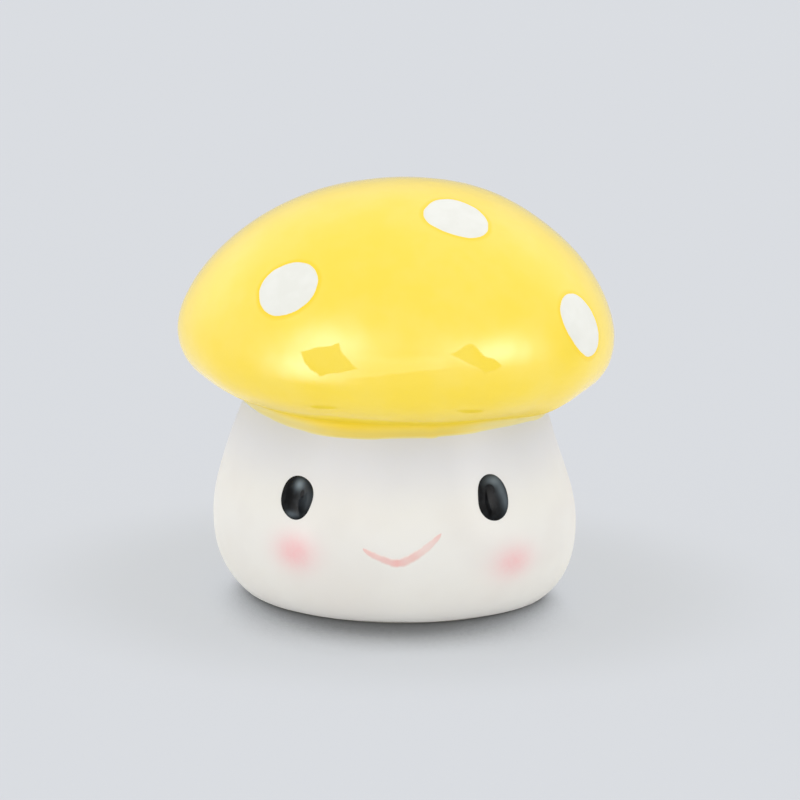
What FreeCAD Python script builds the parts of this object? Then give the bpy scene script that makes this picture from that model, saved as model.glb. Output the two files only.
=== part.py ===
import FreeCAD, Part
import math
import os

# A ceramic mushroom ornament, slip cast hollow in two pieces, luted together, glazed and painted.
# Lengths are in millimetres and angles in degrees.
# The origin is at the centre of the foot, +Z is up and the face looks along -Y.

# Cap, to the outside of its glaze
cap_radius = 26.05
cap_dome_height = 18.0
cap_underside_depth = 9.2
dome_curve_shares = (2.0, 1.7)
underside_curve_shares = (3.6, 2.25)

# Stem, to the outside of its glaze
stem_radius = 21.8
stem_belly_height = 9.1
foot_radius = 17.85
neck_radius = 17.85
seam_height = 23.75
foot_curve_shares = (3.85, 2.25)
neck_bend_share = 0.3

# Clay walls, joint and foot
cap_wall = 2.6
stem_wall = 2.6
pour_hole_radius = 14.0
crease_cove = 0.8
rim_step = 0.3
foot_ring_width = 3.0
foot_recess = 0.8
vent_radius = 4.3

# Glaze coats
glaze_thickness = 0.3
paint_lap = 0.6
bare_foot = 0.35

# White spots, let into the yellow glaze flush with it: azimuth from the front, climb up the dome, turn
spot_radius = 3.85
spot_angles = (
    (-34.6, 30.3, 0.0),
    (32.0, 61.5, 0.0),
    (58.6, 14.7, 0.0),
    (-134.6, 64.0, 35.0),
    (-121.0, 12.0, -15.0),
    (175.0, 22.0, 10.0),
    (128.0, 33.0, -30.0),
)
spot_size_shares = (0.97, 1.06, 0.97, 1.0, 0.93, 1.02, 0.98)
spot_outline_shares = (
    (1.03, 1.03, 1.00, 0.96, 0.98, 1.03, 1.01, 1.01, 0.97, 0.99),
    (0.95, 1.02, 1.07, 0.97, 0.95, 1.01, 0.98, 1.03, 1.05, 0.96),
    (0.94, 0.92, 1.00, 1.05, 1.08, 0.97, 0.90, 0.98, 1.10, 1.05),
    (1.04, 1.00, 0.96, 0.98, 1.03, 1.05, 0.99, 0.95, 0.98, 1.02),
    (0.98, 1.03, 1.06, 0.99, 0.94, 0.97, 1.03, 1.05, 1.00, 0.95),
    (1.06, 1.02, 0.95, 0.94, 1.01, 1.06, 1.01, 0.95, 0.96, 1.03),
    (0.96, 0.98, 1.05, 1.04, 0.97, 0.95, 1.00, 1.06, 1.03, 0.97),
)

# Eyes, domed drops of black glaze: azimuth from the front and turn
eye_half_width = 2.05
eye_half_height = 2.45
eye_height = 15.1
eye_proud = 0.5
eye_sink = 0.3
eye_angles = {"left_eye": (-33.2, 3.0), "right_eye": (34.0, -6.0)}

# Smile, one brush stroke of pink slip: places along it, places above its lowest point, breadths
smile_width = 9.0
smile_rise = 3.4
smile_height = 8.3
smile_offset = 1.1
smile_stroke = 1.0
smile_thickness = 0.12
smile_line_shares = (
    (-0.500, 0.465, 0.00),
    (-0.305, 0.190, 0.75),
    (-0.070, 0.000, 0.90),
    (0.080, 0.118, 1.00),
    (0.310, 0.500, 0.84),
    (0.500, 1.000, 0.00),
)

# Drawing values: points on an outline, halvings of a search and how far cutters run past the glaze
outline_steps = 14
search_steps = 50
overrun = 2.0

origin = FreeCAD.Vector(0, 0, 0)
upright = FreeCAD.Vector(0, 0, 1)
outward = FreeCAD.Vector(1, 0, 0)


def at(radius, height):
    return FreeCAD.Vector(radius, 0, height)


def spline(points, first_tangent, last_tangent):
    curve = Part.BSplineCurve()
    curve.interpolate(Points=points, InitialTangent=first_tangent, FinalTangent=last_tangent)
    return curve


def quarter(angle, curve_shares):
    # One quarter of a rounded outline: its reach out and its rise, both from 0 to 1
    reach = math.cos(math.radians(angle)) ** (2 / curve_shares[0])
    rise = math.sin(math.radians(angle)) ** (2 / curve_shares[1])
    return reach, rise


def rise_at(reach, curve_shares):
    return (1 - reach ** curve_shares[0]) ** (1 / curve_shares[1])


def normal_at(curve, parameter):
    # The outlines run downwards from the apex, or upwards from the foot, so the sign follows the run
    tangent = curve.tangent(parameter)[0]
    normal = FreeCAD.Vector(-tangent.z, 0, tangent.x)
    if curve.value(curve.FirstParameter).z < curve.value(curve.LastParameter).z:
        normal = normal * -1
    return normal


def inset(curve, distance):
    # The same outline drawn inside itself, or outside where the distance is negative
    points = []
    for parameter in curve.getKnots():
        points.append(curve.value(parameter) - normal_at(curve, parameter) * distance)
    first = curve.tangent(curve.FirstParameter)[0]
    last = curve.tangent(curve.LastParameter)[0]
    return spline(points, first, last)


def nearest(curve, point):
    return curve.parameter(point)


def parameter_at_height(curve, height):
    # The stem's outlines climb all the way, so halving finds the one place at a height
    low = curve.FirstParameter
    high = curve.LastParameter
    for step in range(search_steps):
        middle = (low + high) / 2
        if curve.value(middle).z < height:
            low = middle
        else:
            high = middle
    return (low + high) / 2


def run(curve, start, end):
    # The stretch of a curve between two parameters, drawn as an edge
    return curve.toShape(min(start, end), max(start, end))


def straight(start, end):
    return Part.makeLine(start, end)


def spun(edges):
    wire = Part.Wire(Part.__sortEdges__(edges))
    return Part.Face(wire).revolve(origin, upright, 360)


# Glazed outline of the cap, from the apex over the rim and in to the pour hole
neck_reach = neck_radius / cap_radius
cap_widest_height = seam_height + cap_underside_depth * rise_at(neck_reach, underside_curve_shares)
pour_hole_reach = pour_hole_radius / cap_radius
pour_hole_angle = math.degrees(math.acos(pour_hole_reach ** (underside_curve_shares[0] / 2)))


def dome_point(climb):
    reach, rise = quarter(climb, dome_curve_shares)
    return at(cap_radius * reach, cap_widest_height + cap_dome_height * rise)


def underside_point(angle):
    reach, rise = quarter(angle, underside_curve_shares)
    return at(cap_radius * reach, cap_widest_height - cap_underside_depth * rise)


def cap_outline():
    apex = at(0, cap_widest_height + cap_dome_height)
    points = [apex]
    for step in range(1, outline_steps):
        points.append(dome_point(90 * (1 - step / outline_steps)))
    for step in range(outline_steps + 1):
        points.append(underside_point(pour_hole_angle * step / outline_steps))
    last_run = points[-1] - points[-2]
    return spline(points, outward, last_run.normalize())


# Glazed outline of the stem, from the floor over the belly and up into the cap
foot_round_depth = stem_belly_height / rise_at(foot_radius / stem_radius, foot_curve_shares)
foot_rise = (stem_belly_height + glaze_thickness) / foot_round_depth
foot_angle = math.degrees(math.asin(foot_rise ** (foot_curve_shares[1] / 2)))
stem_top = seam_height + cap_wall


def neck_point(height):
    # Upright at the belly, then bending smoothly into a nearly straight slope up to the cap
    climb = (height - stem_belly_height) / (seam_height - stem_belly_height)
    drawn_in = math.hypot(climb, neck_bend_share) - neck_bend_share
    drawn_in_at_seam = math.hypot(1, neck_bend_share) - neck_bend_share
    return at(stem_radius - (stem_radius - neck_radius) * drawn_in / drawn_in_at_seam, height)


def foot_point(angle):
    reach, rise = quarter(angle, foot_curve_shares)
    return at(stem_radius * reach, stem_belly_height - foot_round_depth * rise)


def stem_outline():
    points = []
    for step in range(outline_steps):
        points.append(foot_point(foot_angle * (1 - step / outline_steps)))
    climb = stem_top - stem_belly_height
    for step in range(outline_steps + 1):
        points.append(neck_point(stem_belly_height + climb * step / outline_steps))
    first_run = points[1] - points[0]
    last_run = points[-1] - points[-2]
    return spline(points, first_run.normalize(), last_run.normalize())


cap_line = cap_outline()
cap_clay_line = inset(cap_line, glaze_thickness)
cap_hollow_line = inset(cap_line, glaze_thickness + cap_wall)
stem_line = stem_outline()
stem_clay_line = inset(stem_line, glaze_thickness)
stem_hollow_line = inset(stem_line, glaze_thickness + stem_wall)

# The cove at the crease, where the slip that lutes the cap to the stem was smoothed with a finger
crease = at(neck_radius, seam_height)
cove_top = nearest(cap_line, at(neck_radius + crease_cove, seam_height))
cove_bottom = nearest(stem_line, neck_point(seam_height - crease_cove))
cove_clay_top = nearest(cap_clay_line, cap_line.value(cove_top))
cove_clay_bottom = nearest(stem_clay_line, stem_line.value(cove_bottom))
cove_chord_middle = (cap_line.value(cove_top) + stem_line.value(cove_bottom)) / 2
cove_way_out = (cove_chord_middle - crease).normalize()
cove_middle = crease + cove_way_out * (math.sqrt(2) - 1) * crease_cove
cove_clay_middle = cove_middle - cove_way_out * glaze_thickness

glaze_cove = Part.Arc(cap_line.value(cove_top), cove_middle, stem_line.value(cove_bottom)).toShape()
cove_clay_start = cap_clay_line.value(cove_clay_top)
cove_clay_end = stem_clay_line.value(cove_clay_bottom)
clay_cove = Part.Arc(cove_clay_start, cove_clay_middle, cove_clay_end).toShape()

# Levels on the stem
rim_height = stem_clay_line.value(cove_clay_bottom).z - rim_step
lap_height = stem_line.value(cove_bottom).z - paint_lap
hollow_floor = foot_recess + stem_wall


def cap_body():
    # The hollow cast cap, open below where the slip was poured out
    outer = cap_clay_line.toShape()
    inner = cap_hollow_line.toShape()
    crown = straight(outer.firstVertex().Point, inner.firstVertex().Point)
    hole = straight(outer.lastVertex().Point, inner.lastVertex().Point)
    return spun([crown, outer, hole, inner])


def stem_body():
    # The hollow cast stem: open mouth, belly, floor with a wide vent hole, and a foot ring round a recess
    foot = parameter_at_height(stem_clay_line, 0)
    rim = parameter_at_height(stem_clay_line, rim_height)
    mouth = parameter_at_height(stem_hollow_line, rim_height)
    bottom = parameter_at_height(stem_hollow_line, hollow_floor)
    foot_corner = stem_clay_line.value(foot)
    recess_radius = foot_corner.x - foot_ring_width
    outline = [
        stem_hollow_line.value(bottom),
        at(vent_radius, hollow_floor),
        at(vent_radius, foot_recess),
        at(recess_radius, foot_recess),
        at(recess_radius, 0),
        foot_corner,
    ]
    edges = [run(stem_clay_line, foot, rim), run(stem_hollow_line, bottom, mouth)]
    edges.append(straight(stem_clay_line.value(rim), stem_hollow_line.value(mouth)))
    for start, end in zip(outline, outline[1:]):
        edges.append(straight(start, end))
    return spun(edges)


def luting_slip():
    # The slip between the stem's rim and the cap's underside, with the cove outside
    rim = parameter_at_height(stem_clay_line, rim_height)
    mouth = stem_hollow_line.value(parameter_at_height(stem_hollow_line, rim_height))
    mouth_top = nearest(cap_clay_line, mouth)
    return spun([
        run(stem_clay_line, rim, cove_clay_bottom),
        clay_cove,
        run(cap_clay_line, cove_clay_top, mouth_top),
        straight(cap_clay_line.value(mouth_top), mouth),
        straight(mouth, stem_clay_line.value(rim)),
    ])


def whole_cap_glaze():
    # Yellow glaze over the dome, round the rim, under it and through the cove to its lap on the neck
    apex = cap_line.value(cap_line.FirstParameter)
    clay_apex = cap_clay_line.value(cap_clay_line.FirstParameter)
    lap = parameter_at_height(stem_line, lap_height)
    clay_lap = nearest(stem_clay_line, stem_line.value(lap))
    return spun([
        run(cap_line, cap_line.FirstParameter, cove_top),
        glaze_cove,
        run(stem_line, lap, cove_bottom),
        straight(stem_line.value(lap), stem_clay_line.value(clay_lap)),
        run(stem_clay_line, clay_lap, cove_clay_bottom),
        clay_cove,
        run(cap_clay_line, cap_clay_line.FirstParameter, cove_clay_top),
        straight(clay_apex, apex),
    ])


def stem_glaze():
    # White glaze from the yellow lap down to the wiped edge above the foot
    lap = parameter_at_height(stem_line, lap_height)
    clay_lap = nearest(stem_clay_line, stem_line.value(lap))
    wiped = parameter_at_height(stem_line, bare_foot)
    clay_wiped = nearest(stem_clay_line, stem_line.value(wiped))
    return spun([
        run(stem_line, wiped, lap),
        straight(stem_line.value(lap), stem_clay_line.value(clay_lap)),
        run(stem_clay_line, clay_wiped, clay_lap),
        straight(stem_clay_line.value(clay_wiped), stem_line.value(wiped)),
    ])


def stem_form():
    # The stem as glazed, solid to its axis, which shapes the backs of the eyes
    foot = parameter_at_height(stem_line, 0)
    top = stem_line.value(stem_line.LastParameter)
    return spun([
        run(stem_line, foot, stem_line.LastParameter),
        straight(top, at(0, top.z)),
        straight(at(0, top.z), origin),
        straight(origin, stem_line.value(foot)),
    ])


def surface_placement(curve, parameter, azimuth, turn):
    # A frame on the glaze: Z straight out of it, Y up the surface and X across
    point = curve.value(parameter)
    normal = normal_at(curve, parameter)
    up = FreeCAD.Vector(-normal.z, 0, normal.x)
    across = up.cross(normal)
    frame = FreeCAD.Placement(point, FreeCAD.Rotation(across, up, normal, "ZYX"))
    # Azimuth 0 is the front, which lies along -Y, and a positive one is to the right
    swing = FreeCAD.Placement(origin, FreeCAD.Rotation(upright, azimuth - 90))
    twist = FreeCAD.Placement(origin, FreeCAD.Rotation(upright, turn))
    return swing.multiply(frame).multiply(twist)


def spot_cutter(radius, outline_shares, placement):
    # A prism through the glaze with a hand-painted, not quite round outline
    points = []
    for index, share in enumerate(outline_shares):
        angle = 2 * math.pi * index / len(outline_shares)
        points.append(FreeCAD.Vector(math.cos(angle), math.sin(angle), 0) * radius * share)
    curve = Part.BSplineCurve()
    curve.interpolate(Points=points, PeriodicFlag=True)
    prism = Part.Face(Part.Wire(curve.toShape())).extrude(upright * 2 * overrun)
    prism.translate(upright * -overrun)
    prism.Placement = placement.multiply(prism.Placement)
    return prism


def glazed_cap():
    # The yellow glaze with an opening for each spot, and the spots that fill them
    glaze = whole_cap_glaze()
    spots = {}
    for index, (azimuth, climb, turn) in enumerate(spot_angles):
        place = surface_placement(cap_line, nearest(cap_line, dome_point(climb)), azimuth, turn)
        radius = spot_radius * spot_size_shares[index]
        cutter = spot_cutter(radius, spot_outline_shares[index], place)
        spots["cap_spot_" + str(index + 1)] = glaze.common(cutter)
        glaze = glaze.cut(cutter)
    return glaze, spots


def eye(azimuth, turn, form):
    # A flattened drop: an ellipsoid sunk a little below the glaze, and only what stands above it
    depth = eye_proud + eye_sink
    spread = 1 / math.sqrt(1 - (eye_sink / depth) ** 2)
    stretch = FreeCAD.Matrix()
    stretch.scale(eye_half_width * spread, eye_half_height * spread, depth)
    drop = Part.makeSphere(1).transformGeometry(stretch)
    drop.translate(upright * -eye_sink)
    place = surface_placement(stem_line, parameter_at_height(stem_line, eye_height), azimuth, turn)
    drop.Placement = place.multiply(drop.Placement)
    return drop.cut(form)


def smile_outline():
    # Upper and lower edge of the stroke, each side of its centre line
    line = []
    for along, above, breadth in smile_line_shares:
        line.append(at(smile_offset + along * smile_width, smile_height + above * smile_rise))
    upper = []
    lower = []
    for index, point in enumerate(line):
        before = line[max(index - 1, 0)]
        after = line[min(index + 1, len(line) - 1)]
        chord = (after - before).normalize()
        across = FreeCAD.Vector(-chord.z, 0, chord.x)
        half = smile_stroke / 2 * smile_line_shares[index][2]
        upper.append(point + across * half)
        lower.append(point - across * half)
    edges = []
    for points in (upper, lower):
        curve = Part.BSplineCurve()
        curve.interpolate(Points=points)
        edges.append(curve.toShape())
    return Part.Face(Part.Wire(edges))


def smile():
    # A thin coat over the white glaze, as wide as the brush stroke
    coat_line = inset(stem_line, -smile_thickness)
    low = parameter_at_height(stem_line, bare_foot)
    high = parameter_at_height(stem_line, lap_height)
    coat_low = nearest(coat_line, stem_line.value(low))
    coat_high = nearest(coat_line, stem_line.value(high))
    coat = spun([
        run(stem_line, low, high),
        straight(stem_line.value(high), coat_line.value(coat_high)),
        run(coat_line, coat_low, coat_high),
        straight(coat_line.value(coat_low), stem_line.value(low)),
    ])
    front = FreeCAD.Vector(0, -1, 0) * (stem_radius + overrun)
    return coat.common(smile_outline().extrude(front))


def main():
    os.makedirs("parts", exist_ok=True)
    glaze, nodes = glazed_cap()
    nodes["cap_body"] = cap_body()
    nodes["stem_body"] = stem_body()
    nodes["luting_slip"] = luting_slip()
    nodes["cap_glaze"] = glaze
    nodes["stem_glaze"] = stem_glaze()
    form = stem_form()
    for name, (azimuth, turn) in eye_angles.items():
        nodes[name] = eye(azimuth, turn, form)
    nodes["smile"] = smile()
    for name, shape in nodes.items():
        shape.exportStep(os.path.join("parts", name + ".step"))
        print(name, len(shape.Solids), "solid", round(shape.Volume, 2), "mm3", shape.isValid())


main()
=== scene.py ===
import math
import bpy
import numpy as np
from mathutils import Matrix, Vector


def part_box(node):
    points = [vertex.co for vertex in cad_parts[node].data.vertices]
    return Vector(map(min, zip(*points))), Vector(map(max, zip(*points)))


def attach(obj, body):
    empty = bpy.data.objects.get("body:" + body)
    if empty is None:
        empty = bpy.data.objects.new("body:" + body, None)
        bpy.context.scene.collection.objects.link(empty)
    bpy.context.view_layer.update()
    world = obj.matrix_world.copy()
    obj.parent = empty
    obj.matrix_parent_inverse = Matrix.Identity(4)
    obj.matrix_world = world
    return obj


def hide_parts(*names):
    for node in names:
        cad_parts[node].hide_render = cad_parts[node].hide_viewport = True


# A ceramic mushroom ornament: the glaze coats, painted spots, eyes and smile that dress its clay.
# Lengths are in metres. +Z is up and the face looks along -Y.

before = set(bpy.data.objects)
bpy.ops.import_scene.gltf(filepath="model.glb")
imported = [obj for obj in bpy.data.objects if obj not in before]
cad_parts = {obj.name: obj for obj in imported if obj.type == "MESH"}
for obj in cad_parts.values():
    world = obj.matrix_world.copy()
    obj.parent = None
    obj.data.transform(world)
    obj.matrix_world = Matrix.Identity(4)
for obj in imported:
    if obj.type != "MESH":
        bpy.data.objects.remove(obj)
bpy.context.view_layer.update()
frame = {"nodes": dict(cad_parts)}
nodes = frame["nodes"]

MM = 0.001

# Sizes read from the frame
cap_low, cap_high = [Vector(corner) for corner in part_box("cap_glaze")]
stem_low, stem_high = [Vector(corner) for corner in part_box("stem_glaze")]
cap_radius = (cap_high.x - cap_low.x) / 2
cap_top = cap_high.z
stem_radius = (stem_high.x - stem_low.x) / 2

# Outline of the glazed surfaces
seam_height = 23.75 * MM
neck_radius = 17.85 * MM
cap_underside_depth = 9.2 * MM
dome_powers = (2.0, 1.7)
underside_powers = (3.6, 2.25)
stem_belly_height = 9.1 * MM
foot_radius = 17.85 * MM
foot_powers = (3.85, 2.25)
neck_bend = 0.3
crease_cove = 0.8 * MM

# Glaze coats: how far in a dent may go, the backs of the two meshes, and the least thickness
glaze_thickness = 0.3 * MM
deepest_dip = 0.27 * MM
cap_back_depth = glaze_thickness * 0.9
stem_back_depth = glaze_thickness * 0.95
thinnest_coat = 0.03 * MM

# Yellow lap on the neck: how far down its sheet runs, how far it stands above and dips below
# the white glaze, and the band in which it does so, below and above its painted edge
lap_sheet = 1.5 * MM
lap_lift = 0.03 * MM
lap_dip = 0.05 * MM
lap_feather = (0.24 * MM, 0.16 * MM)
# Degrees from the face side between which the lap thins out
lap_thins = (18, 40)

# White glaze: where it sinks under the lap, above the painted edge, and how far; then its
# end just above the floor, with the height and depth of the rolled edge there
under_band = (0.2 * MM, 0.55 * MM)
under_tuck = 0.12 * MM
white_end = 0.1 * MM
roll_height = 0.35 * MM
roll_depth = 0.14 * MM

# Meshes
cap_spacing = 0.25 * MM
cap_columns = 600
stem_spacing = 0.25 * MM
stem_columns = 480
fine_spacing = 0.02 * MM
patch_rings = 26
patch_spokes = 144
smile_rows = 120
smile_columns = 15

# Points with which the outlines are drawn before they are spaced evenly
quarter_points = 4000
cove_points = 40
lap_points = 60
neck_points = 800
same_point = 1e-9


# Outlines of revolution

def rise_at(reach, powers):
    return (1 - reach ** powers[0]) ** (1 / powers[1])


cap_widest_height = seam_height + cap_underside_depth * rise_at(
    neck_radius / cap_radius, underside_powers)
cap_dome_height = cap_top - cap_widest_height
foot_round_depth = stem_belly_height / rise_at(foot_radius / stem_radius, foot_powers)


def quarter(turns, powers):
    # One quarter of a rounded outline: its reach out and its rise, both from 0 to 1
    return np.cos(turns) ** (2 / powers[0]), np.sin(turns) ** (2 / powers[1])


def neck_at(heights):
    climb = (heights - stem_belly_height) / (seam_height - stem_belly_height)
    drawn_in = np.hypot(climb, neck_bend) - neck_bend
    at_seam = math.hypot(1, neck_bend) - neck_bend
    return stem_radius - (stem_radius - neck_radius) * drawn_in / at_seam


class Outline:
    """A profile in the plane of radius and height, evenly spaced, with its outward normals."""

    def __init__(self, radii, heights, spacing):
        points = np.stack([np.concatenate(radii), np.concatenate(heights)], axis=1)
        steps = np.linalg.norm(np.diff(points, axis=0), axis=1)
        points = points[np.concatenate([[True], steps > same_point])]
        along = np.concatenate([[0], np.cumsum(np.linalg.norm(np.diff(points, axis=0), axis=1))])
        places = np.linspace(0, along[-1], int(along[-1] / spacing) + 2)
        even = [np.interp(places, along, points[:, axis]) for axis in (0, 1)]
        self.points = np.stack(even, axis=1)
        tangents = np.gradient(self.points, places, axis=0)
        tangents /= np.linalg.norm(tangents, axis=1)[:, None]
        # The outlines run downwards, so their outward side is to the left of the run
        self.normals = np.stack([-tangents[:, 1], tangents[:, 0]], axis=1)

    def spin(self, columns, first_row=0):
        """Points and normals of the whole surface, row by row, with the face side in column 0."""
        turns = np.linspace(0, 2 * math.pi, columns, endpoint=False)
        ring = np.stack([np.sin(turns), -np.cos(turns)], axis=1)
        rows = []
        for flat in (self.points[first_row:], self.normals[first_row:]):
            across = flat[:, 0][:, None, None] * ring[None]
            height = np.broadcast_to(flat[:, 1][:, None, None], across.shape[:2] + (1,))
            rows.append(np.concatenate([across, height], axis=2).reshape(-1, 3))
        return rows


quarter_turn = np.linspace(0, math.pi / 2, quarter_points)
lap_top = seam_height - crease_cove


def cap_outline(spacing):
    # Apex, dome, rim, underside, the cove at the crease, and the lap on the neck
    reach, rise = quarter(quarter_turn[::-1], dome_powers)
    radii = [cap_radius * reach]
    heights = [cap_widest_height + cap_dome_height * rise]
    reach, rise = quarter(quarter_turn, underside_powers)
    outside = cap_radius * reach > neck_radius + crease_cove
    radii.append(cap_radius * reach[outside])
    heights.append(cap_widest_height - cap_underside_depth * rise[outside])
    start = np.array([radii[-1][-1], heights[-1][-1]])
    crease = np.array([neck_radius, seam_height])
    end = np.array([neck_at(lap_top), lap_top])
    share = np.linspace(0, 1, cove_points)[1:, None]
    cove = start * (1 - share) ** 2 + 2 * crease * share * (1 - share) + end * share ** 2
    radii.append(cove[:, 0])
    heights.append(cove[:, 1])
    down = np.linspace(lap_top, lap_top - lap_sheet, lap_points)[1:]
    radii.append(neck_at(down))
    heights.append(down)
    return Outline(radii, heights, spacing)


def stem_outline(spacing):
    # From behind the yellow lap, down the neck, over the belly and in to the wiped edge
    down = np.linspace(lap_top, stem_belly_height, neck_points)
    reach, rise = quarter(quarter_turn, foot_powers)
    below = stem_belly_height - foot_round_depth * rise
    shown = below > white_end
    radii = [neck_at(down), stem_radius * reach[shown][1:]]
    return Outline(radii, [down, below[shown][1:]], spacing)


# Relief of the hand-made surfaces, as heights along the normal

# How many waves make a field, and the shares of the given length between which theirs lie
wave_count = 28
wave_spread = (0.75, 1.4)


def waves(points, length, seed):
    """A smooth random field over points, about -1 to 1, with roughly the given wavelength."""
    pick = np.random.RandomState(seed)
    directions = pick.normal(size=(wave_count, 3))
    directions /= np.linalg.norm(directions, axis=1)[:, None]
    lengths = length * pick.uniform(*wave_spread, wave_count)
    phases = pick.uniform(0, 2 * math.pi, wave_count)
    total = np.zeros(len(points))
    for direction, size, phase in zip(directions, lengths, phases):
        total += np.cos(points @ direction * (2 * math.pi / size) + phase)
    return total * math.sqrt(2 / wave_count) / 2


def smooth_step(values, low, high):
    share = np.clip((values - low) / (high - low), 0, 1)
    return share * share * (3 - 2 * share)


def azimuth_of(points):
    # Degrees from the face side, positive towards +X
    return np.degrees(np.arctan2(points[:, 0], -points[:, 1]))


# Where hand work left the forms fuller or flatter: centre, reach across and up, reach from front
# to back, and height, in millimetres
cap_swells = (
    ((-25.5, -2, 31), 6, 6, 0.25),
    ((-17, 4, 44.5), 7, 13, -0.4),
    ((-9, 5, 48), 6, 13, -0.6),
    ((24, 1, 38), 6, 12, -0.08),
    ((10, 5, 48), 7, 7, 0.34),
    ((17.6, -10.8, 24.5), 4, 4, 0.55),
    ((24.3, -5.5, 27), 3, 3, 0.12),
    ((26, 0, 33.5), 4, 7, -0.15),
    ((-21.5, -7.8, 25.5), 3.5, 5, -0.2),
)
stem_swells = (
    ((-19.9, 0, 18), 6, 6, 0.2),
    ((19.5, 0, 19), 5, 10, -0.18),
    ((-19.4, -5.2, 4.5), 6, 6, -0.2),
    ((18.6, -4, 3), 6, 7, 0.5),
    ((19.8, -1, 10), 5, 6, 0.15),
)

# Waves left by smoothing and glazing: height, length and seed
cap_waves = ((0.03 * MM, 9 * MM, 11), (0.008 * MM, 2.6 * MM, 12))
stem_waves = ((0.03 * MM, 8 * MM, 21), (0.008 * MM, 2.4 * MM, 22))

# The crown is a little lower than the outline, over its topmost part, and the stem a little
# slimmer all over
crown_dip = 0.09 * MM
crown_part = 6 * MM
stem_dip = 0.03 * MM


def hand_work(points, swells, wave_sets):
    heights = np.zeros(len(points))
    for centre, reach, deep, height in swells:
        away = np.linalg.norm((points / MM - centre) / (reach, deep, reach), axis=1)
        heights += height * MM * np.exp(-away ** 2)
    for height, length, seed in wave_sets:
        heights += height * waves(points, length, seed)
    return heights


def cap_form(points):
    heights = hand_work(points, cap_swells, cap_waves)
    heights -= crown_dip * smooth_step(points[:, 2], cap_top - crown_part, cap_top)
    # Nowhere so low that the clay under the glaze would show
    return np.where(heights < 0, deepest_dip * np.tanh(heights / deepest_dip), heights)


def stem_form(points):
    return hand_work(points, stem_swells, stem_waves) - stem_dip


def ring_through(places, turns):
    """A smooth closed curve through evenly turned places, as a sum of waves round it."""
    parts = np.fft.rfft(places) / len(places)
    total = np.full(np.shape(turns), parts[0].real)
    for order, part in enumerate(parts[1:], 1):
        sides = 1 if 2 * order == len(places) else 2
        total += sides * (part * np.exp(1j * order * turns)).real
    return total


# Height of the yellow's brushed lower edge on the neck, in millimetres, every 15 degrees from
# the back
lap_heights = (
    22.4, 22.6, 22.7, 22.5, 22.3, 22.35, 22.65, 22.95, 22.82, 22.44, 22.08, 22.03,
    22.3, 22.45, 22.64, 22.83, 22.7, 22.45, 22.4, 22.5, 22.65, 22.5, 22.3, 22.25,
)
# Its ripple: height in millimetres, waves round the neck, and phase
lap_ripple = (0.02, 19, 1.1)
# Its one run near the front: depth in millimetres, azimuth, width, and where it breaks off
lap_run = (0.1, 13.5, 2.2)
lap_run_end = (15.4, 16.5)


def lap_edge(points):
    # The brushed edge wanders up and down round the neck
    azimuth = azimuth_of(points)
    heights = ring_through(lap_heights, np.radians(azimuth) + math.pi)
    height, count, phase = lap_ripple
    heights += height * np.sin(count * np.radians(azimuth) + phase)
    depth, centre, width = lap_run
    run = depth * np.exp(-((azimuth - centre) / width) ** 2)
    heights -= run * (1 - smooth_step(azimuth, *lap_run_end))
    return heights * MM


def below_seam(points):
    return smooth_step(seam_height - points[:, 2], crease_cove * 0.5, crease_cove)


# White spots: azimuth, climb up the dome and turn in degrees, radius in millimetres and, as
# shares of it, ten places round the outline
spots = {
    "cap_spot_1": (-34.6, 30.3, 0.0, 3.73, (
        1.03, 1.03, 1.00, 0.96, 0.98, 1.03, 1.01, 1.01, 0.97, 0.99)),
    "cap_spot_2": (32.0, 61.5, 0.0, 4.08, (
        0.95, 1.02, 1.07, 0.97, 0.95, 1.01, 0.98, 1.03, 1.05, 0.96)),
    "cap_spot_3": (58.6, 14.7, 0.0, 3.73, (
        0.94, 0.92, 1.00, 1.05, 1.08, 0.97, 0.90, 0.98, 1.10, 1.05)),
    "cap_spot_4": (-134.6, 64.0, 35.0, 3.85, (
        1.04, 1.00, 0.96, 0.98, 1.03, 1.05, 0.99, 0.95, 0.98, 1.02)),
    "cap_spot_5": (-121.0, 12.0, -15.0, 3.58, (
        0.98, 1.03, 1.06, 0.99, 0.94, 0.97, 1.03, 1.05, 1.00, 0.95)),
    "cap_spot_6": (175.0, 22.0, 10.0, 3.93, (
        1.06, 1.02, 0.95, 0.94, 1.01, 1.06, 1.01, 0.95, 0.96, 1.03)),
    "cap_spot_7": (128.0, 33.0, -30.0, 3.77, (
        0.96, 0.98, 1.05, 1.04, 0.97, 0.95, 1.00, 1.06, 1.03, 0.97)),
}
# The fine wobble of each outline: height as a share of the radius, and waves round
spot_wobble = ((0.004, 9), (0.003, 15))
# How near the plane through a spot's middle a point must be to count, and the gap that is
# given where no spot counts
spot_reach_out = 4 * MM
no_spot_near = 1.0


class Place:
    """A frame on a surface of revolution: across, up the surface, and straight out of it."""

    def __init__(self, outline, flat_point, azimuth, turn):
        row = np.argmin(np.linalg.norm(outline.points - flat_point, axis=1))
        swing = Matrix.Rotation(math.radians(azimuth), 3, "Z")
        radial = swing @ Vector((0, -1, 0))
        across = swing @ Vector((1, 0, 0))
        centre, normal = [
            radial * flat[row, 0] + Vector((0, 0, flat[row, 1]))
            for flat in (outline.points, outline.normals)]
        twist = Matrix.Rotation(math.radians(turn), 3, normal)
        self.centre = np.array(centre)
        self.normal = np.array(normal)
        self.across = np.array(twist @ across)
        self.up = np.cross(self.normal, self.across)

    def flat(self, points):
        away = points - self.centre
        return away @ self.across, away @ self.up, away @ self.normal

    def raised(self, across, up):
        return self.centre + across[:, None] * self.across + up[:, None] * self.up


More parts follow.
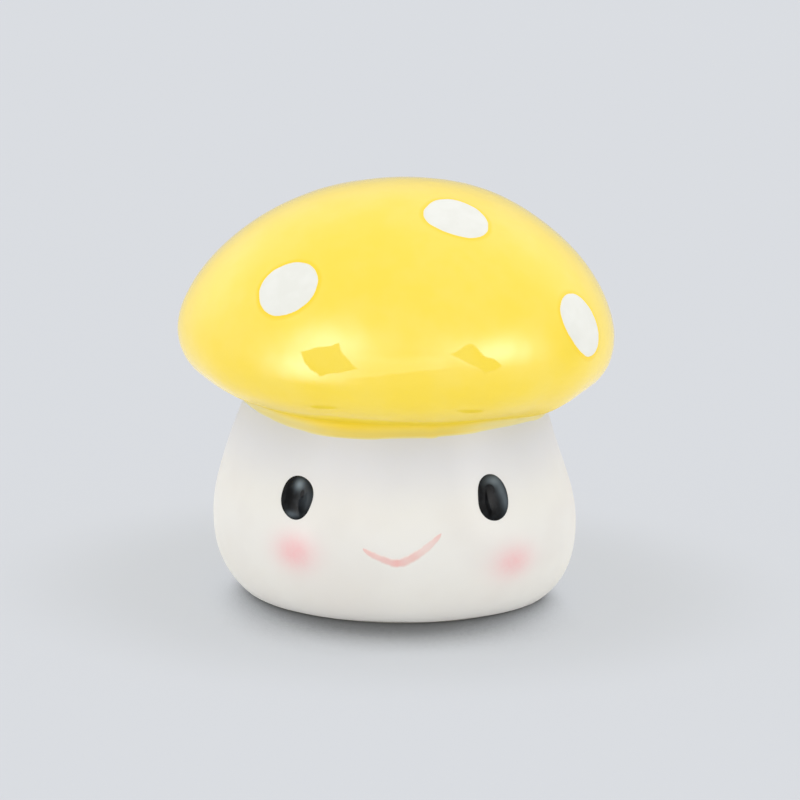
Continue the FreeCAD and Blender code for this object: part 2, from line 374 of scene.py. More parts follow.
fine_cap = cap_outline(fine_spacing)
fine_stem = stem_outline(fine_spacing)
spot_places = {}
for name, (azimuth, climb, turn, radius, outline) in spots.items():
    reach, rise = quarter(np.radians([climb]), dome_powers)
    flat_point = (cap_radius * reach[0], cap_widest_height + cap_dome_height * rise[0])
    spot_places[name] = Place(fine_cap, flat_point, azimuth, turn)


def spot_reach(name, turns):
    radius, outline = spots[name][3:]
    wobble = 0.0
    for order, (height, count) in enumerate(spot_wobble, 1):
        wobble = wobble + height * np.sin(count * turns + order * radius)
    return radius * MM * (ring_through(outline, turns) + wobble)


def gap_to_spots(points):
    """How far each point of the cap lies outside the nearest spot, negative inside one."""
    gap = np.full(len(points), no_spot_near)
    for name, place in spot_places.items():
        across, up, out = place.flat(points)
        distance = np.hypot(across, up) - spot_reach(name, np.arctan2(up, across))
        near = np.abs(out) < spot_reach_out
        gap[near] = np.minimum(gap[near], distance[near])
    return gap


# Glaze pools against each white spot in a low bead, and dips away under the spot
bead_height = 0.03 * MM
bead_reach = 0.30 * MM
bead_width = 0.28 * MM
spot_tuck = 0.15 * MM
spot_tuck_band = (0.35 * MM, 1.1 * MM)


def cap_relief(points):
    gap = gap_to_spots(points)
    bead = bead_height * np.exp(-((gap - bead_reach) / bead_width) ** 2)
    tuck = spot_tuck * smooth_step(-gap, *spot_tuck_band)
    # The yellow sheet dips into the white one right at the painted edge
    edge = lap_edge(points)
    lap = smooth_step(points[:, 2], edge - lap_feather[0], edge + lap_feather[1])
    lifted = lap_lift * lap - lap_dip * (1 - lap)
    below = below_seam(points)
    return cap_form(points) * (1 - below) + (stem_form(points) + lifted) * below + bead - tuck


def stem_relief(points):
    # The white glaze passes under the yellow lap, and ends in a rolled edge at the foot
    edge = lap_edge(points)
    under = smooth_step(points[:, 2], edge + under_band[0], edge + under_band[1])
    roll = 1 - np.sqrt(np.clip((points[:, 2] - white_end) / roll_height, 0, 1))
    return stem_form(points) - under_tuck * under - roll_depth * roll ** 2


def drop_onto(outline, relief, points, direction, slides=5, batch=400):
    """Slides points along a direction until they lie on the surface with its relief."""
    points = points.copy()
    for slide in range(slides):
        radial = np.hypot(points[:, 0], points[:, 1])
        flat = np.stack([radial, points[:, 2]], axis=1)
        rows = np.empty(len(points), int)
        for first in range(0, len(points), batch):
            part = slice(first, first + batch)
            away = flat[part, None, :] - outline.points[None]
            rows[part] = np.argmin((away ** 2).sum(axis=2), axis=1)
        foot, normal = outline.points[rows], outline.normals[rows]
        height = ((flat - foot) * normal).sum(axis=1)
        unit = points[:, :2] / radial[:, None]
        base = np.concatenate([unit * foot[:, :1], foot[:, 1:]], axis=1)
        full_normal = np.concatenate([unit * normal[:, :1], normal[:, 1:]], axis=1)
        step_length = (height - relief(base)) / (full_normal @ direction)
        points -= step_length[:, None] * direction
    return points


# Meshes

def make_piece(name, vertices, faces, **measures):
    mesh = bpy.data.meshes.new(name)
    mesh.from_pydata(vertices.tolist(), [], faces)
    mesh.update()
    mesh.polygons.foreach_set("use_smooth", [True] * len(mesh.polygons))
    for measure, values in measures.items():
        attribute = mesh.attributes.new(measure, "FLOAT", "POINT")
        attribute.data.foreach_set("value", np.asarray(values, np.float32))
    piece = bpy.data.objects.new(name, mesh)
    bpy.context.scene.collection.objects.link(piece)
    return piece


def close_sheet(sheet, back, faces, rims):
    """A thin closed solid: a sheet, its copy behind it, and a wall round each rim."""
    count = len(sheet)
    closed = list(faces)
    for face in faces:
        closed.append(tuple(corner + count for corner in reversed(face)))
    for rim in rims:
        for start, end in zip(rim, rim[1:] + rim[:1]):
            closed.append((start, start + count, end + count, end))
    return np.concatenate([sheet, back]), closed


def band_faces(rows, columns, first):
    faces = []
    for row in range(rows - 1):
        top = first + row * columns
        for column in range(columns):
            after = (column + 1) % columns
            faces.append((top + column, top + columns + column, top + columns + after, top + after))
    return faces


def cap_coat():
    outline = cap_outline(cap_spacing)
    points, normals = outline.spin(cap_columns, 1)
    apex = np.array([[0, 0, cap_top]])
    points = np.concatenate([apex, points])
    normals = np.concatenate([[[0, 0, 1]], normals])
    relief = cap_relief(points)
    sheet = points + normals * relief[:, None]
    back = points + normals * np.minimum(-cap_back_depth, relief - thinnest_coat)[:, None]
    rows = len(outline.points) - 1
    faces = [(0, 1 + column, 1 + (column + 1) % cap_columns) for column in range(cap_columns)]
    faces += band_faces(rows, cap_columns, 1)
    last = 1 + (rows - 1) * cap_columns
    rims = [list(range(last, last + cap_columns))[::-1]]
    vertices, closed = close_sheet(sheet, back, faces, rims)
    measures = {
        "gap_mm": np.tile(gap_to_spots(points) / MM, 2),
        "lap_mm": np.tile((points[:, 2] - lap_edge(points)) / MM, 2),
        "thin": np.tile(smooth_step(np.abs(azimuth_of(points)), *lap_thins), 2),
    }
    return make_piece("yellow_coat", vertices, closed, **measures)


def stem_coat():
    outline = stem_outline(stem_spacing)
    points, normals = outline.spin(stem_columns)
    relief = stem_relief(points)
    sheet = points + normals * relief[:, None]
    back = points + normals * np.minimum(-stem_back_depth, relief - thinnest_coat)[:, None]
    rows = len(outline.points)
    faces = band_faces(rows, stem_columns, 0)
    last = (rows - 1) * stem_columns
    rims = [list(range(stem_columns)), list(range(last, last + stem_columns))[::-1]]
    vertices, closed = close_sheet(sheet, back, faces, rims)
    return make_piece("white_coat", vertices, closed)


def disc_grid(rings, spokes):
    """Shares out from the centre and turns of a round patch, with its faces and rim."""
    shares = np.sin(np.linspace(0, math.pi / 2, rings + 1))[1:]
    turns = np.linspace(0, 2 * math.pi, spokes, endpoint=False)
    out = np.concatenate([[0], np.repeat(shares, spokes)])
    around = np.concatenate([[0], np.tile(turns, rings)])
    faces = [(0, 1 + spoke, 1 + (spoke + 1) % spokes) for spoke in range(spokes)]
    faces += band_faces(rings, spokes, 1)
    last = 1 + (rings - 1) * spokes
    return out, around, faces, list(range(last, last + spokes))[::-1]


def patch(name, outline, relief, place, reach, dome, depth):
    """A round patch that follows a surface, raised by dome(share out), with a wall round it."""
    out, around, faces, rim = disc_grid(patch_rings, patch_spokes)
    radius = reach(around)
    flat = place.raised(out * radius * np.cos(around), out * radius * np.sin(around))
    ground = drop_onto(outline, relief, flat, place.normal)
    sheet = ground + dome(out)[:, None] * place.normal
    back = ground - depth * place.normal
    vertices, closed = close_sheet(sheet, back, faces, [rim])
    return make_piece(name, vertices, closed, out=np.tile(out, 2))


# Spots: height above the glaze round them, how much lower they are at the edge, from which
# share out they sink, and how deep their wall goes
spot_proud = 0.016 * MM
spot_edge_drop = 0.010 * MM
spot_edge = 0.93
spot_wall = 0.2 * MM


def spot_dome(out):
    return spot_proud - spot_edge_drop * smooth_step(out, spot_edge, 1.0)


# Eyes: azimuth, height, turn and outline radii in millimetres, ten places round
eyes = {
    "left_eye": (-33.2, 14.9, 0.0, (2.26, 2.43, 2.48, 2.47, 2.25, 2.11, 2.25, 2.49, 2.68, 2.38)),
    "right_eye": (34.0, 15.3, 0.0, (2.21, 2.32, 2.65, 2.71, 2.24, 2.02, 2.34, 2.66, 2.71, 2.45)),
}
# How far they stand out, the power that rounds them, and how deep their wall goes
eye_proud = 0.5 * MM
eye_roundness = 0.62
eye_wall = 0.15 * MM


def eye_dome(out):
    return eye_proud * (1 - np.clip(out, 0, 1) ** 2) ** eye_roundness


# Smile: how far right of the face's middle and above the floor, and how broad, in millimetres
smile_line = (
    (-3.42, 9.90, 0.10), (-3.05, 9.63, 0.48), (-2.35, 9.22, 0.70), (-1.50, 8.88, 0.80),
    (-0.60, 8.58, 0.86), (0.20, 8.33, 0.94), (0.80, 8.33, 1.00), (1.50, 8.53, 1.08),
    (2.51, 9.08, 1.02), (3.40, 9.66, 0.92), (4.20, 10.30, 0.80), (4.90, 10.96, 0.66),
    (5.35, 11.42, 0.46), (5.60, 11.72, 0.10),
)
# The faded edges take up some of the breadth, so the stroke is laid broader by this much
smile_spread = 1.25
# Ripples of its breadth: share of it, radians for each millimetre, and phase
smile_ripples = ((0.05, 5.1, 0), (0.03, 11.3, 1))
# How far its middle stands out and its edges sink in, and how deep its wall goes
smile_crown = 0.035 * MM
smile_sink = 0.004 * MM
smile_wall = 0.1 * MM


def smooth_line(places, count):
    """Points on a smooth curve through places, evenly spread between its ends."""
    places = np.array(places)
    steps = np.linspace(0, len(places) - 1, count)
    index = np.minimum(steps.astype(int), len(places) - 2)
    share = (steps - index)[:, None]
    padded = np.concatenate([[2 * places[0] - places[1]], places, [2 * places[-1] - places[-2]]])
    before, start, end, after = [padded[index + shift] for shift in range(4)]
    cubic = 3 * (start - end) + after - before
    square = 2 * before - 5 * start + 4 * end - after
    return start + share / 2 * (end - before + share * (square + share * cubic))


def smile_stroke():
    rows, columns = smile_rows, smile_columns
    line = smooth_line(smile_line, rows) * MM
    chord = np.gradient(line[:, :2], axis=0)
    chord /= np.linalg.norm(chord, axis=1)[:, None]
    side = np.stack([-chord[:, 1], chord[:, 0]], axis=1)
    across = np.linspace(-1, 1, columns)
    breadth = 1.0
    for height, waviness, phase in smile_ripples:
        breadth = breadth + height * np.sin(line[:, 0] / MM * waviness + phase)
    half = line[:, 2] / 2 * smile_spread * breadth
    flat = line[:, None, :2] + side[:, None] * (across[None, :, None] * half[:, None, None])
    flat = flat.reshape(-1, 2)
    points = np.stack([flat[:, 0], np.full(len(flat), -stem_radius), flat[:, 1]], axis=1)
    forward = np.array([0.0, -1.0, 0.0])
    ground = drop_onto(fine_stem, stem_relief, points, forward)
    crown = np.tile(smile_crown * (1 - across ** 2) - smile_sink, rows)
    sheet = ground + crown[:, None] * forward
    back = ground - smile_wall * forward
    faces = []
    for row in range(rows - 1):
        for column in range(columns - 1):
            first = row * columns + column
            faces.append((first, first + columns, first + columns + 1, first + 1))
    rim = [row * columns for row in range(rows)]
    rim += [(rows - 1) * columns + column for column in range(1, columns)]
    rim += [row * columns + columns - 1 for row in range(rows - 2, -1, -1)]
    rim += list(range(columns - 2, 0, -1))
    vertices, closed = close_sheet(sheet, back, faces, [rim[::-1]])
    measures = {
        "edge": np.tile(np.tile(np.abs(across), rows), 2),
        "along": np.tile(np.repeat(np.linspace(0, 1, rows), columns), 2),
    }
    return make_piece("smile_stroke", vertices, closed, **measures)


# Materials

class Nodes:
    """Short calls for the node tree of a material or a world."""

    def __init__(self, owner):
        owner.use_nodes = True
        self.owner = owner
        self.tree = owner.node_tree
        self.shader = self.tree.nodes.get("Principled BSDF")

    def add(self, kind, inputs=None, **settings):
        node = self.tree.nodes.new(kind)
        for key, value in settings.items():
            setattr(node, key, value)
        for key, value in (inputs or {}).items():
            self.put(node.inputs[key], value)
        return node

    def put(self, socket, value):
        if isinstance(value, bpy.types.NodeSocket):
            self.tree.links.new(value, socket)
        else:
            socket.default_value = value

    def maths(self, operation, *values):
        node = self.add("ShaderNodeMath", operation=operation)
        for socket, value in zip(node.inputs, values):
            self.put(socket, value)
        return node.outputs[0]

    def remap(self, value, low, high, new_low=0.0, new_high=1.0, smooth=True):
        kind = "SMOOTHSTEP" if smooth else "LINEAR"
        node = self.add("ShaderNodeMapRange", interpolation_type=kind)
        for index, item in enumerate((value, low, high, new_low, new_high)):
            self.put(node.inputs[index], item)
        return node.outputs[0]

    def mix(self, factor, first, second):
        node = self.add("ShaderNodeMix", data_type="RGBA")
        self.put(node.inputs[0], factor)
        self.put(node.inputs[6], first)
        self.put(node.inputs[7], second)
        return node.outputs[2]

    def blend(self, factor, first, second):
        return self.add("ShaderNodeMixShader", {0: factor, 1: first, 2: second}).outputs[0]

    def place(self):
        return self.add("ShaderNodeTexCoord").outputs["Object"]

    def noise(self, size, detail=2.0, roughness=0.5):
        # size is the width of one blotch in metres
        inputs = {"Vector": self.place(), "Scale": 1 / size, "Detail": detail}
        inputs["Roughness"] = roughness
        return self.add("ShaderNodeTexNoise", inputs).outputs["Fac"]

    def measure(self, name):
        return self.add("ShaderNodeAttribute", attribute_name=name).outputs["Fac"]

    def vector(self, operation, *values):
        node = self.add("ShaderNodeVectorMath", dict(enumerate(values)), operation=operation)
        return node.outputs["Value" if operation == "LENGTH" else "Vector"]

    def bell(self, *terms):
        """exp(-d^2), where d counts how many widths the values lie away from their centres."""
        total = 0.0
        for value, centre, width in terms:
            share = self.maths("DIVIDE", self.maths("SUBTRACT", value, centre), width)
            total = self.maths("MULTIPLY_ADD", share, share, total)
        return self.maths("EXPONENT", self.maths("MULTIPLY", total, -1.0))

    def cloud(self, point, breadth, height):
        """A soft patch round a point: 1 there, fading over half its breadth and height."""
        away = self.vector("SUBTRACT", self.place(), tuple(point))
        away = self.vector("MULTIPLY", away, (1 / breadth, 1 / breadth, 1 / height))
        return self.bell((self.vector("LENGTH", away), 0.0, 1.0))

    def bump(self, height, depth, strength):
        inputs = {"Height": height, "Distance": depth, "Strength": strength}
        self.put(self.shader.inputs["Normal"], self.add("ShaderNodeBump", inputs).outputs[0])

    def set(self, **values):
        for key, value in values.items():
            self.put(self.shader.inputs[key.replace("_", " ")], value)


def colour(red, green, blue):
    """A colour given as it shows on a screen, 0 to 255, in linear light."""
    def linear(value):
        value /= 255
        return value / 12.92 if value <= 0.04045 else ((value + 0.055) / 1.055) ** 2.4
    return (linear(red), linear(green), linear(blue), 1.0)


def glaze_finish(nodes, coat_roughness, coat_weight):
    # All gloss is the clear coat's, over colour that has none of its own
    nodes.put(nodes.shader.inputs["Coat Weight"], coat_weight)
    nodes.put(nodes.shader.inputs["Coat Roughness"], coat_roughness)
    nodes.shader.inputs["Coat IOR"].default_value = 1.5
    nodes.shader.inputs["Specular IOR Level"].default_value = 0.0


def yellow_glaze():
    n = Nodes(bpy.data.materials.new("yellow_glaze"))
    blotches = n.noise(7 * MM, 3.0)
    streaks = n.noise(2.2 * MM, 2.0)
    thin = colour(255, 228, 86)
    full = colour(255, 226, 70)
    deep = colour(255, 219, 36)
    base = n.mix(n.remap(blotches, 0.35, 0.65), full, thin)
    base = n.mix(n.remap(streaks, 0.45, 0.75, 0.0, 0.35), base, full)
    gap = n.measure("gap_mm")
    base = n.mix(n.remap(gap, 0.1, 0.65, 0.9, 0.0), base, deep)
    # Over the white neck the lap is thin, most of all at the sides and at its very edge
    lap = n.measure("lap_mm")
    lapped = n.mix(n.measure("thin"), colour(234, 216, 118), colour(237, 225, 160))
    base = n.mix(n.remap(lap, 0.5, 1.6, 1.0, 0.0), base, lapped)
    base = n.mix(n.remap(lap, 0.0, 0.3, 0.6, 0.0), base, colour(232, 230, 196))
    # In the crease the glaze is thick and deeper in colour, and painted shade darkens it there
    base = n.mix(n.maths("MULTIPLY", n.bell((lap, 2.1, 0.7)), 0.45), base, colour(236, 206, 52))
    n.set(Base_Color=base)
    n.set(Roughness=n.remap(blotches, 0.3, 0.7, 0.32, 0.42))
    # The crease and the thin lap shine less and more softly
    glaze_finish(n, n.remap(lap, 1.2, 3.2, 0.3, 0.035), n.remap(lap, 1.5, 4.0, 0.3, 1.0))
    n.bump(n.noise(0.9 * MM, 1.0), 0.004 * MM, 0.6)
    return n.owner


def white_glaze():
    n = Nodes(bpy.data.materials.new("white_glaze"))
    blotches = n.remap(n.noise(9 * MM), 0.35, 0.65)
    body = n.mix(blotches, colour(233, 231, 228), colour(236, 235, 232))
    grain = n.noise(0.55 * MM, 3.0, 0.6)
    # Painted shade under the cap: the glaze turns greyer and cooler towards the neck
    height = n.add("ShaderNodeSeparateXYZ", {0: n.place()}).outputs[2]
    body = n.mix(n.remap(height, 13 * MM, 22 * MM), body, colour(219, 222, 234))
    blush = 0.0
    for point, breadth, height, strength in cheeks:
        blush = n.maths("MULTIPLY_ADD", n.cloud(point, breadth, height), strength, blush)
    blush = n.maths("MULTIPLY", blush, n.remap(grain, 0.25, 0.75, 0.88, 1.12, smooth=False))
    body = n.mix(blush, body, colour(246, 168, 176))
    n.set(Base_Color=body)
    n.set(Roughness=n.remap(grain, 0.3, 0.7, 0.34, 0.42))
    glaze_finish(n, 0.3, 0.4)
    n.bump(n.noise(1.1 * MM, 1.0), 0.004 * MM, 0.5)
    return n.owner


def spot_glaze():
    n = Nodes(bpy.data.materials.new("spot_glaze"))
    blotches = n.remap(n.noise(2.5 * MM), 0.35, 0.65)
    body = n.mix(blotches, colour(235, 236, 230), colour(239, 240, 235))
    # A little of the yellow bleeds into the rim
    rim = n.remap(n.measure("out"), 0.92, 1.0)
    body = n.mix(n.maths("MULTIPLY", rim, 0.4), body, colour(244, 236, 190))
    n.set(Base_Color=body)
    n.set(Roughness=n.remap(n.noise(1 * MM), 0.3, 0.7, 0.3, 0.4))
    glaze_finish(n, 0.06, 0.7)
    n.bump(n.noise(0.8 * MM, 1.0), 0.003 * MM, 0.5)
    return n.owner


def eye_glaze():
    n = Nodes(bpy.data.materials.new("eye_glaze"))
    body = n.mix(n.remap(n.noise(0.9 * MM), 0.4, 0.7), colour(10, 10, 12), colour(26, 28, 31))
    # Painted highlights: soft grey reflections laid into the black
    pale = 0.0
    for point, breadth, height, strength in eye_painted_highlights:
        pale = n.maths("MULTIPLY_ADD", n.cloud(point, breadth, height), strength, pale)
    body = n.mix(n.maths("MAXIMUM", pale, 0.0), body, colour(124, 136, 146))
    n.set(Base_Color=body)
    n.set(Roughness=n.remap(n.noise(0.5 * MM), 0.3, 0.7, 0.22, 0.34))
    glaze_finish(n, 0.08, 0.13)
    n.bump(n.noise(0.7 * MM, 1.0), 0.01 * MM, 0.6)
    return n.owner


def pink_slip():
    n = Nodes(bpy.data.materials.new("pink_slip"))
    streak = n.noise(1.1 * MM)
    pink = n.mix(n.remap(streak, 0.35, 0.7), colour(236, 200, 196), colour(237, 205, 201))
    along = n.measure("along")
    # The brush turned at the bottom of the smile and left more colour there
    pink = n.mix(n.bell((along, 0.43, 0.07)), pink, colour(238, 190, 187))
    # The stroke thins out halfway up its right side and towards its ragged edges
    worn = n.remap(n.maths("ABSOLUTE", n.maths("SUBTRACT", along, 0.76)), 0.02, 0.16, 0.35, 0.0)
    ragged = n.remap(streak, 0.3, 0.7, -0.06, 0.06, smooth=False)
    edge = n.remap(n.maths("ADD", n.measure("edge"), ragged), 0.4, 1.0)
    fade = n.maths("MAXIMUM", worn, edge)
    n.set(Base_Color=n.mix(fade, pink, colour(238, 236, 232)))
    n.set(Roughness=n.remap(streak, 0.3, 0.7, 0.34, 0.42))
    glaze_finish(n, 0.15, 0.4)
    n.bump(streak, 0.004 * MM, 0.5)
    return n.owner


def bare_clay():
    n = Nodes(bpy.data.materials.new("bare_clay"))
    grain = n.noise(0.35 * MM, 4.0, 0.65)
    blotches = n.remap(n.noise(4 * MM, 3.0), 0.3, 0.7)
    body = n.mix(blotches, colour(230, 226, 216), colour(238, 235, 227))
    specks = n.remap(n.noise(0.3 * MM, 1.0), 0.70, 0.76)
    body = n.mix(n.maths("MULTIPLY", specks, 0.35), body, colour(196, 182, 160))
    n.set(Base_Color=body)
    n.set(Roughness=n.remap(grain, 0.3, 0.7, 0.75, 0.92))
    n.shader.inputs["Specular IOR Level"].default_value = 0.3
    n.bump(grain, 0.05 * MM, 0.5)
    return n.owner


# Cheeks, sprayed on: a point on the glaze, how far out across and up the blush has mostly
# faded, and how strong it is
cheeks = (
    (Vector((-11.45, -18.52, 8.6)) * MM, 2.7 * MM, 2.1 * MM, 0.60),
    (Vector((14.2, -16.4, 7.5)) * MM, 3.0 * MM, 2.0 * MM, 0.50),
)

# Painted highlights: soft grey reflections laid into the black of the eyes, given in the same
# way; a negative strength takes away from the others
eye_painted_highlights = (
    (Vector((-10.97, -17.53, 16.41)) * MM, 0.6 * MM, 0.65 * MM, 1.0),
    (Vector((-10.0, -18.4, 15.0)) * MM, 0.9 * MM, 1.3 * MM, 0.18),
    (Vector((-10.6, -18.1, 15.5)) * MM, 0.18 * MM, 0.5 * MM, -0.4),
    (Vector((-11.83, -17.92, 12.95)) * MM, 0.9 * MM, 0.4 * MM, 0.4),
    (Vector((11.52, -16.72, 17.2)) * MM, 1.0 * MM, 0.6 * MM, 0.7),
    (Vector((12.48, -16.57, 16.2)) * MM, 0.7 * MM, 1.0 * MM, 0.45),
    (Vector((13.0, -16.57, 14.7)) * MM, 0.7 * MM, 1.2 * MM, 0.4),
    (Vector((11.2, -17.4, 16.5)) * MM, 0.38 * MM, 0.4 * MM, -0.8),
)

pieces = {"yellow_coat": cap_coat(), "white_coat": stem_coat(), "smile_stroke": smile_stroke()}
for name, place in spot_places.items():
    def reach(turns, name=name):
        return spot_reach(name, turns)
    # Spots lie level with the glaze round them, without its bead
    pieces[name + "_enamel"] = patch(
        name + "_enamel", fine_cap, cap_form, place, reach, spot_dome, spot_wall)
for name, (azimuth, height, turn, radii) in eyes.items():
    flat_point = (float(neck_at(height * MM)), height * MM)
    place = Place(fine_stem, flat_point, azimuth, turn)

    def reach(turns, radii=radii):
        return MM * ring_through(radii, turns)
    pieces[name + "_drop"] = patch(
        name + "_drop", fine_stem, stem_relief, place, reach, eye_dome, eye_wall)

materials = {
    "yellow_glaze": yellow_glaze(),
    "white_glaze": white_glaze(),
    "spot_glaze": spot_glaze(),
    "eye_glaze": eye_glaze(),
    "pink_slip": pink_slip(),
    "bare_clay": bare_clay(),
}


def dress(piece, node, slot):
    piece.data.materials.append(materials[slot])
    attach(piece, "root")
    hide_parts(node)


dress(pieces["yellow_coat"], "cap_glaze", "yellow_glaze")
dress(pieces["white_coat"], "stem_glaze", "white_glaze")
dress(pieces["smile_stroke"], "smile", "pink_slip")
for name in spot_places:
    dress(pieces[name + "_enamel"], name, "spot_glaze")
for name in eyes:
    dress(pieces[name + "_drop"], name, "eye_glaze")
for name in ("cap_body", "stem_body", "luting_slip"):
    nodes[name].data.materials.clear()
    nodes[name].data.materials.append(materials["bare_clay"])


# Floor, light and camera

# The paper on the floor: half its side, between which distances from the middle a painted shade
# round the object gives way to paler paper, and between which the glaze stops mirroring it
floor_half = 4.0
painted_shade_band = (28 * MM, 52 * MM)
mirrored_band = (45 * MM, 75 * MM)
# Its contact shadow: how near things must be to shade it, how many degrees the light that
# they keep off leans to the back, its samples, the shares of open light between which the
# shadow gives way to paper, its colour, and how much of the view is painted and not lit
shade_distance = 18 * MM
shade_lean = 75
shade_samples = 16
shade_band = (0.36, 0.71)
shade_colour = (50, 50, 47)
painted_share = 0.8

# The tent: sines of the elevations between which its light grows, how strong it is at both,
# and the share that it loses straight in front, with that dim place's two widths in degrees
tent_heights = (-0.1, 0.9)
tent_light = (1.0, 1.14)
tent_dim = 0.21
tent_dim_widths = (38.0, 45.0)

# What the glaze mirrors: even light, and glows and dimmer places in degrees from the face side
# and above the horizon: azimuth, elevation, widths of both, and strength. The dim place at the
# back is there twice, once for each end of the azimuths
mirrored_light = 1.05
glows = (
    (-49, -10, 19, 24, 6.8),
    (-36, 24, 22, 16, 4.9),
    (56, 14, 19, 14, 6.6),
    (30, 22, 14, 14, 1.2),
    (64, -4, 18, 16, 0.6),
    (0, 20, 45, 35, 0.5),
    (180, 5, 40, 25, -0.5),
    (-180, 5, 40, 25, -0.5),
    (100, 0, 14, 28, -0.5),
    (-130, 22, 25, 18, 0.6),
    (130, 30, 25, 15, 0.4),
)

# Dark lamp fronts inside the two bright glows: their corners, anticlockwise, the light that
# they give, and half the width of their soft edge
lamp_fronts = (
    ((-52.0, 11.6), (-41.8, -24.3), (-20.3, -8.1), (-31.6, 24.9)),
    ((29.3, 17.4), (49.1, -16.5), (56.5, -4.5), (41.2, 26.9)),
)
lamp_front_light = 0.5
lamp_front_edge = 0.6

# A pale front wall above a sloping edge: the edge's rise with azimuth, its elevation straight
# in front, half the width of its softness, where the wall fades out above and to both sides,
# and its strength
wall_slope = 0.42
wall_foot = -13.5
wall_edge = 1.0
wall_top = (8.0, 20.0)
wall_sides = (20.0, 32.0)
wall_strength = 1.2


def floor():
    mesh = bpy.data.meshes.new("floor")
    half = floor_half
    corners = [(-half, -half, 0), (half, -half, 0), (half, half, 0), (-half, half, 0)]
    mesh.from_pydata(corners, [], [(0, 1, 2, 3)])
    sheet = bpy.data.objects.new("floor", mesh)
    bpy.context.scene.collection.objects.link(sheet)
    n = Nodes(bpy.data.materials.new("floor_paper"))
    path = n.add("ShaderNodeLightPath").outputs
    away = n.vector("LENGTH", n.place())
    far = n.mix(n.noise(0.4), colour(215, 218, 223), colour(217, 220, 225))
    # Painted shade: the paper is darker close to the object
    paper = n.mix(n.remap(away, *painted_shade_band), colour(208, 211, 215), far)
    n.set(Base_Color=n.mix(path["Is Camera Ray"], colour(242, 243, 244), paper))
    n.set(Roughness=n.remap(n.noise(2 * MM), 0.3, 0.7, 0.8, 0.9))
    n.shader.inputs["Specular IOR Level"].default_value = 0.1
    # To the camera the paper looks evenly lit, mostly from behind the object, whose contact
    # shadow deepens where it keeps that light off
    lean = math.radians(shade_lean)
    behind = n.add("ShaderNodeCombineXYZ", {1: math.sin(lean), 2: math.cos(lean)}).outputs[0]
    inputs = {"Distance": shade_distance, "Normal": behind}
    shade = n.add("ShaderNodeAmbientOcclusion", inputs, samples=shade_samples).outputs["AO"]
    shown = n.mix(n.remap(shade, *shade_band), colour(*shade_colour), paper)
    painted = n.add("ShaderNodeEmission", {"Color": shown}).outputs[0]
    share = n.maths("MULTIPLY", path["Is Camera Ray"], painted_share)
    # Away from the object its glaze mirrors the tent in place of the floor
    unseen = n.maths("MULTIPLY", path["Is Glossy Ray"], n.remap(away, *mirrored_band))
    clear = n.add("ShaderNodeBsdfTransparent").outputs[0]
    both = n.blend(unseen, n.blend(share, n.shader.outputs[0], painted), clear)
    n.put(n.tree.nodes["Material Output"].inputs[0], both)
    mesh.materials.append(n.owner)


def within(n, corners, azimuth, elevation):
    """1 inside a four-sided patch of the tent and 0 outside it."""
    # Degrees by which a point lies inside the side that it is nearest to, to begin with more
    # than any point of a patch can
    depth = 90.0
    for (first, low), (second, high) in zip(corners, corners[1:] + corners[:1]):
        length = math.hypot(second - first, high - low)
        inward = (low - high) / length, (second - first) / length
        side = n.maths("MULTIPLY_ADD", azimuth, inward[0], -first * inward[0] - low * inward[1])
        side = n.maths("MULTIPLY_ADD", elevation, inward[1], side)
        depth = n.maths("MINIMUM", depth, side)
    return n.remap(depth, -lamp_front_edge, lamp_front_edge)


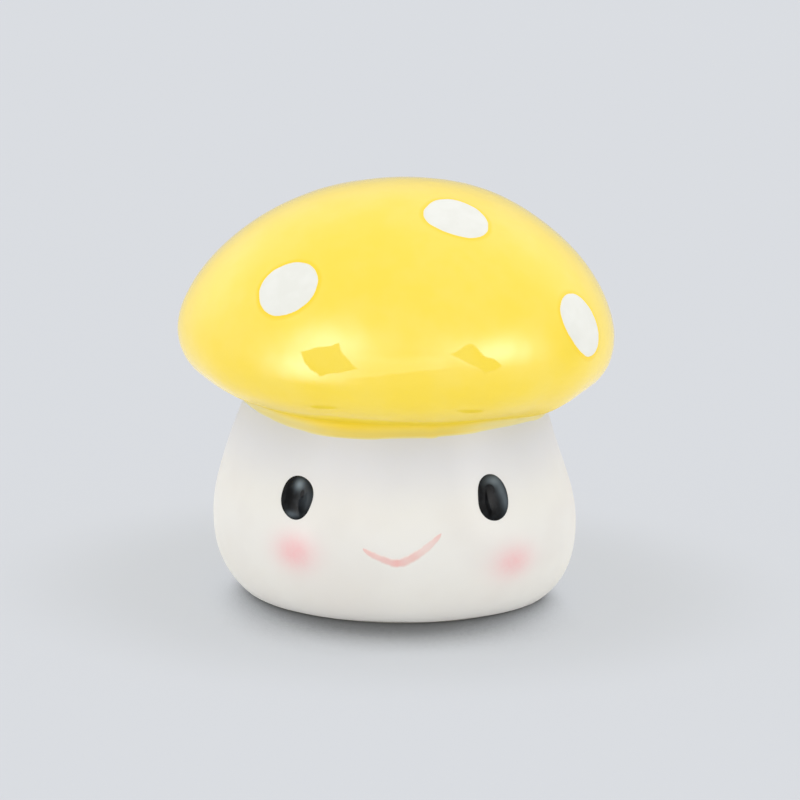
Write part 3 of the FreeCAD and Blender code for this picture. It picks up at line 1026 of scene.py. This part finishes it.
def sky():
    """A white tent that lights the object evenly, and what the glaze mirrors of it."""
    world = bpy.data.worlds.new("tent")
    bpy.context.scene.world = world
    n = Nodes(world)
    n.tree.nodes.clear()
    direction = n.add("ShaderNodeTexCoord").outputs["Generated"]
    across, forward, up = n.add("ShaderNodeSeparateXYZ", {0: direction}).outputs
    azimuth = n.maths("ARCTAN2", across, n.maths("MULTIPLY", forward, -1.0))
    azimuth = n.maths("MULTIPLY", azimuth, 180 / math.pi)
    elevation = n.maths("MULTIPLY", n.maths("ARCSINE", up), 180 / math.pi)
    even = n.remap(up, *tent_heights, *tent_light, smooth=False)
    dim = n.bell((azimuth, 0.0, tent_dim_widths[0]), (elevation, 0.0, tent_dim_widths[1]))
    even = n.maths("MULTIPLY", even, n.maths("MULTIPLY_ADD", dim, -tent_dim, 1.0))

    mirrored = mirrored_light
    for centre, height, breadth, rise, strength in glows:
        glow = n.bell((azimuth, centre, breadth), (elevation, height, rise))
        mirrored = n.maths("MULTIPLY_ADD", glow, strength, mirrored)
    edge = n.maths("MULTIPLY_ADD", azimuth, wall_slope, wall_foot)
    wall = n.remap(n.maths("SUBTRACT", elevation, edge), -wall_edge, wall_edge)
    wall = n.maths("MULTIPLY", wall, n.remap(elevation, *wall_top, 1.0, 0.0))
    aside = n.maths("ABSOLUTE", azimuth)
    wall = n.maths("MULTIPLY", wall, n.remap(aside, *wall_sides, 1.0, 0.0))
    mirrored = n.maths("MULTIPLY_ADD", wall, wall_strength, mirrored)
    for corners in lamp_fronts:
        inside = within(n, corners, azimuth, elevation)
        dark = n.maths("MULTIPLY", inside, n.maths("SUBTRACT", lamp_front_light, mirrored))
        mirrored = n.maths("ADD", mirrored, dark)

    path = n.add("ShaderNodeLightPath").outputs
    strength = n.maths("MULTIPLY", path["Is Glossy Ray"], n.maths("SUBTRACT", mirrored, even))
    strength = n.maths("ADD", even, strength)
    lit, shown = [
        n.add("ShaderNodeBackground", {"Color": tint, "Strength": light}).outputs[0]
        for tint, light in (((1.0, 0.995, 0.985, 1.0), strength), (colour(219, 222, 227), 1.0))]
    both = n.blend(path["Is Camera Ray"], lit, shown)
    n.put(n.add("ShaderNodeOutputWorld").inputs[0], both)


# The photograph's camera: its elevation, and its turn about the line of sight, in degrees, and
# its lens in millimetres
camera_distance = 504 * MM
camera_elevation = 12.0
camera_roll = 1.31
camera_target = Vector((0.48, 0, 23.0)) * MM
camera_lens = 189.0
camera_sensor = 36.0
camera_clip_start = 10 * MM


def camera():
    data = bpy.data.cameras.new("camera")
    data.sensor_width = camera_sensor
    data.lens = camera_lens
    data.clip_start = camera_clip_start
    view = bpy.data.objects.new("camera", data)
    bpy.context.scene.collection.objects.link(view)
    climb = math.radians(camera_elevation)
    back = Vector((0, -math.cos(climb), math.sin(climb)))
    turn = Matrix.Rotation(math.radians(90 - camera_elevation), 4, "X")
    roll = Matrix.Rotation(math.radians(camera_roll), 4, "Z")
    view.matrix_world = Matrix.Translation(camera_target + back * camera_distance) @ turn @ roll
    bpy.context.scene.camera = view


floor()
sky()
camera()
bpy.context.scene.view_settings.view_transform = "Standard"
